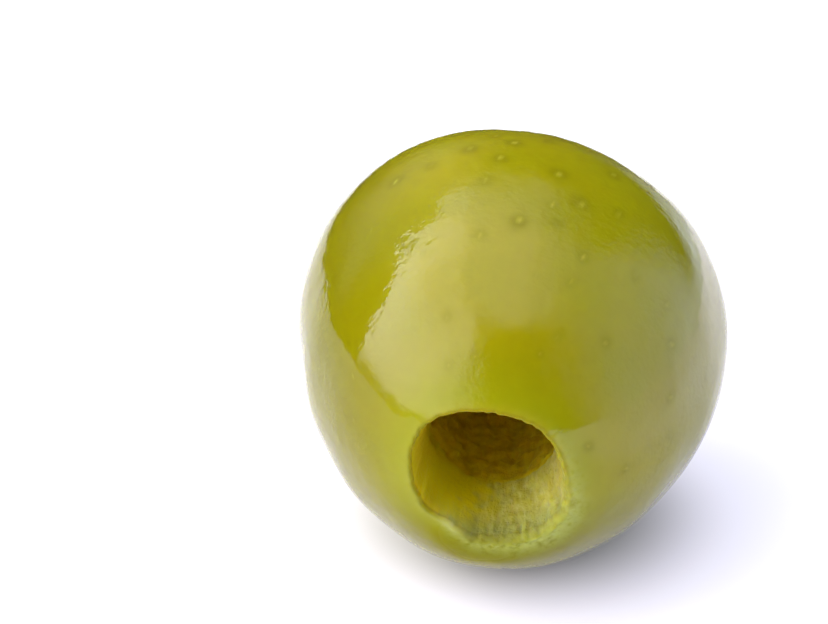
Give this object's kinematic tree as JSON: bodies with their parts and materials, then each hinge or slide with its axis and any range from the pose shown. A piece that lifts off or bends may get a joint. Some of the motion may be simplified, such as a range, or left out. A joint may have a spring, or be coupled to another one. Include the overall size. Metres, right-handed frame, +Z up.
{
  "type": "pitted green olive",
  "caption": "Pitted green table olive lying on its side: plump oval fruit, round mouth in front, stone's hollow inside, punch cross at the back.",
  "frame": {"origin": "middle of the box round the olive, at the height of the surface it lies on", "axes": "+Y along the olive from its mouth to its back, +Z up from the surface it lies on, +X to the right for someone who looks into the mouth"},
  "size_m": [0.0206, 0.0216, 0.0195],
  "materials": {
    "olive_flesh": "gloss"
  },
  "bodies": {
    "root": {"olive": "olive_flesh"}
  },
  "joints": []
}
